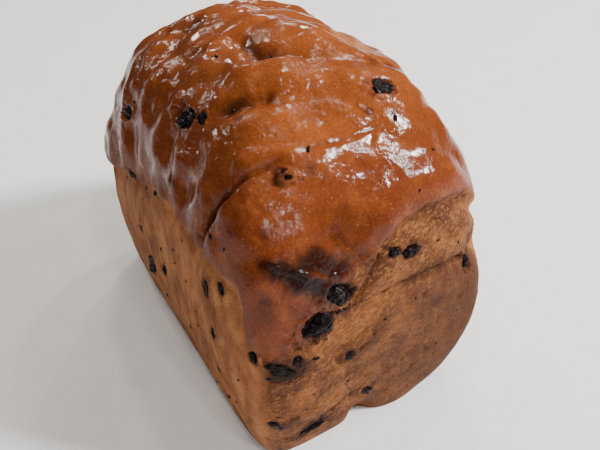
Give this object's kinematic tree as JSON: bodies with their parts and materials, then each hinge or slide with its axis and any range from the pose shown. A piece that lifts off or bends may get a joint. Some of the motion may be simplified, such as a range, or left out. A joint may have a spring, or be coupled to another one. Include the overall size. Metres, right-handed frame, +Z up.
{
  "type": "currant bread",
  "caption": "Tin-baked currant loaf with straight matte sides, a swollen glazed dome, and dark currants showing in its crust.",
  "frame": {"origin": "middle of the flat base, where the bottom of the whole loaf's box has its centre", "axes": "+Z up, +X along the loaf's length towards the end with the crease, the notch and the largest currants, +Y across it"},
  "size_m": [0.1562, 0.1074, 0.1384],
  "materials": {
    "crust": "baked crust: glossy red-brown egg wash on the dome, matte golden tan on the sides",
    "currant": "wrinkled blackish dried fruit skin with a dull sheen"
  },
  "bodies": {
    "root": {"loaf": "crust", "currant_end_10": "currant", "currant_end_11": "currant", "currant_end_12": "currant", "currant_end_13": "currant", "currant_end_14": "currant", "currant_end_15": "currant", "currant_end_16": "currant", "currant_end_17": "currant", "currant_end_18": "currant", "currant_end_19": "currant", "currant_end_20": "currant", "currant_end_21": "currant", "currant_far_34": "currant", "currant_far_35": "currant", "currant_far_36": "currant", "currant_far_37": "currant", "currant_left_01": "currant", "currant_left_02": "currant", "currant_left_03": "currant", "currant_left_04": "currant", "currant_left_05": "currant", "currant_left_06": "currant", "currant_left_07": "currant", "currant_left_08": "currant", "currant_left_09": "currant", "currant_right_29": "currant", "currant_right_30": "currant", "currant_right_31": "currant", "currant_right_32": "currant", "currant_right_33": "currant", "currant_top_22": "currant", "currant_top_23": "currant", "currant_top_24": "currant", "currant_top_25": "currant", "currant_top_26": "currant", "currant_top_27": "currant", "currant_top_28": "currant"}
  },
  "joints": []
}
